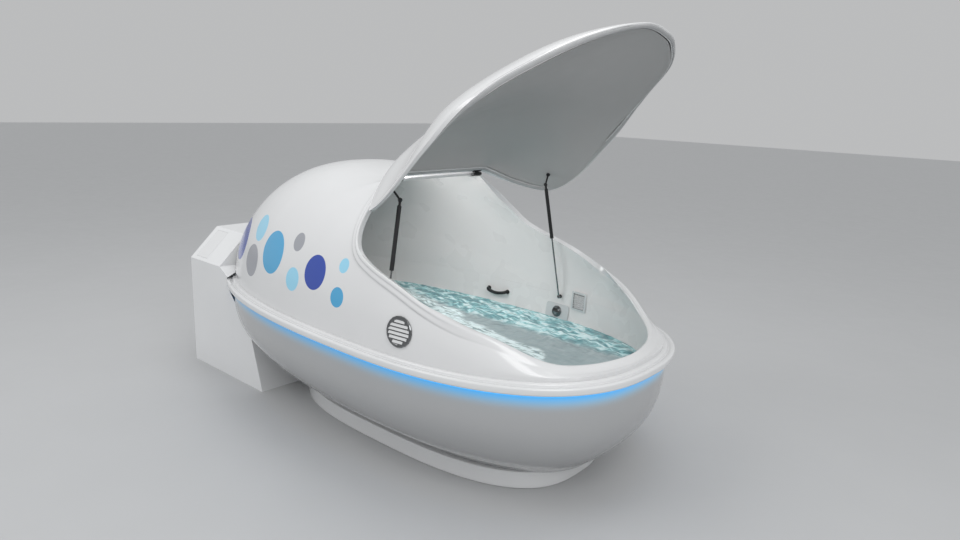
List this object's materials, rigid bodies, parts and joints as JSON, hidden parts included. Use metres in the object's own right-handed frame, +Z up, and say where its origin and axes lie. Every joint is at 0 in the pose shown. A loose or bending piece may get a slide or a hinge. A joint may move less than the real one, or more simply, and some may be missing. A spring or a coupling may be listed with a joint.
{
  "type": "flotation tank",
  "caption": "Oval moulded flotation pod with a gas-sprung lid, glowing rim light and vented canopy, and an equipment cabinet behind it for the pump and filter.",
  "frame": {"origin": "on the floor, under the middle of the pod's rim, in the plinth's flat bottom face", "axes": "+X along the pod towards its foot end, +Y to the left side, +Z up; the equipment cabinet stands at -X"},
  "size_m": [2.673, 1.412, 1.8514],
  "materials": {
    "gelcoat": "glossy white gelcoat",
    "hull": "glossy light grey gelcoat",
    "liner": "satin light grey gelcoat",
    "glow": "translucent blue light diffuser",
    "chrome": "dark polished chrome",
    "black": "satin black",
    "steel": "brushed stainless steel",
    "rubber": "soft grey seal rubber",
    "panel": "smooth off-white plastic",
    "plastic": "plain grey plastic"
  },
  "bodies": {
    "root": {"plinth": "gelcoat", "hull_beam_1": "plastic", "hull_beam_2": "plastic", "hull_beam_3": "plastic", "hull_shell": "hull", "rim_band": "gelcoat", "light_strip": "glow", "basin": "liner", "drain_cover": "chrome", "canopy_shell": "gelcoat", "vent_bezel": "chrome", "vent_louvre": "panel", "button_panel": "panel", "button_bezel": "chrome", "air_grille": "panel", "grab_handle": "black", "hinge_leaf_canopy_right": "black", "hinge_leaf_canopy_left": "black", "hinge_pin_right": "steel", "hinge_pin_left": "steel", "strut_stud_wall_right": "black", "strut_stud_wall_left": "black", "cabinet_shell": "gelcoat", "cabinet_tray": "plastic", "pump_volute": "black", "pump_motor": "steel", "filter_vessel": "plastic", "filter_cap": "black", "water_heater": "steel", "control_unit": "plastic", "return_pipe": "plastic", "suction_pipe": "plastic"},
    "lid": {"lid_shell": "gelcoat", "lid_liner": "liner", "lid_seal": "rubber", "hinge_leaf_lid_right": "black", "hinge_leaf_lid_left": "black", "strut_stud_lid_right": "black", "strut_stud_lid_left": "black"},
    "tube_right": {"strut_tube_right": "black"},
    "tube_left": {"strut_tube_left": "black"},
    "rod_right": {"strut_rod_right": "steel"},
    "rod_left": {"strut_rod_left": "steel"},
    "button": {"call_button": "chrome"},
    "hatch": {"cabinet_hatch": "gelcoat"}
  },
  "joints": [
    {"name": "lid_hinge", "type": "hinge", "parent": "root", "child": "lid", "pos_m": [0.12, 0, 1.196], "axis": [0, 1, 0], "range_deg": [0, 60]},
    {"name": "strut_swing_right", "type": "hinge", "parent": "lid", "child": "tube_right", "pos_m": [0.383, -0.495, 1.155], "axis": [0, 1, 0], "range_deg": [-83.95, 0]},
    {"name": "strut_swing_left", "type": "hinge", "parent": "lid", "child": "tube_left", "pos_m": [0.383, 0.495, 1.155], "axis": [0, 1, 0], "range_deg": [-83.95, 0]},
    {"name": "strut_slide_right", "type": "slide", "parent": "tube_right", "child": "rod_right", "axis": [-0.0634, 0.2063, 0.9764], "range_m": [0, 0.162]},
    {"name": "strut_slide_left", "type": "slide", "parent": "tube_left", "child": "rod_left", "axis": [-0.0634, -0.2063, 0.9764], "range_m": [0, 0.162]},
    {"name": "button_press", "type": "slide", "parent": "root", "child": "button", "axis": [0.0589, 0.9867, -0.1516], "range_m": [0, 0.004], "stiffness_N_per_m": 400},
    {"name": "hatch_hinge", "type": "hinge", "parent": "root", "child": "hatch", "pos_m": [-1.277, -0.3369, 0.7628], "axis": [-1, 0, 0], "range_deg": [0, 75]}
  ],
  "couplings": [
    {"joint": "strut_swing_right", "follows": "lid_hinge", "ratio": -1.3985},
    {"joint": "strut_swing_left", "follows": "lid_hinge", "ratio": -1.3985},
    {"joint": "strut_slide_right", "follows": "lid_hinge", "m_per_rad": 0.1542},
    {"joint": "strut_slide_left", "follows": "lid_hinge", "m_per_rad": 0.1542}
  ]
}
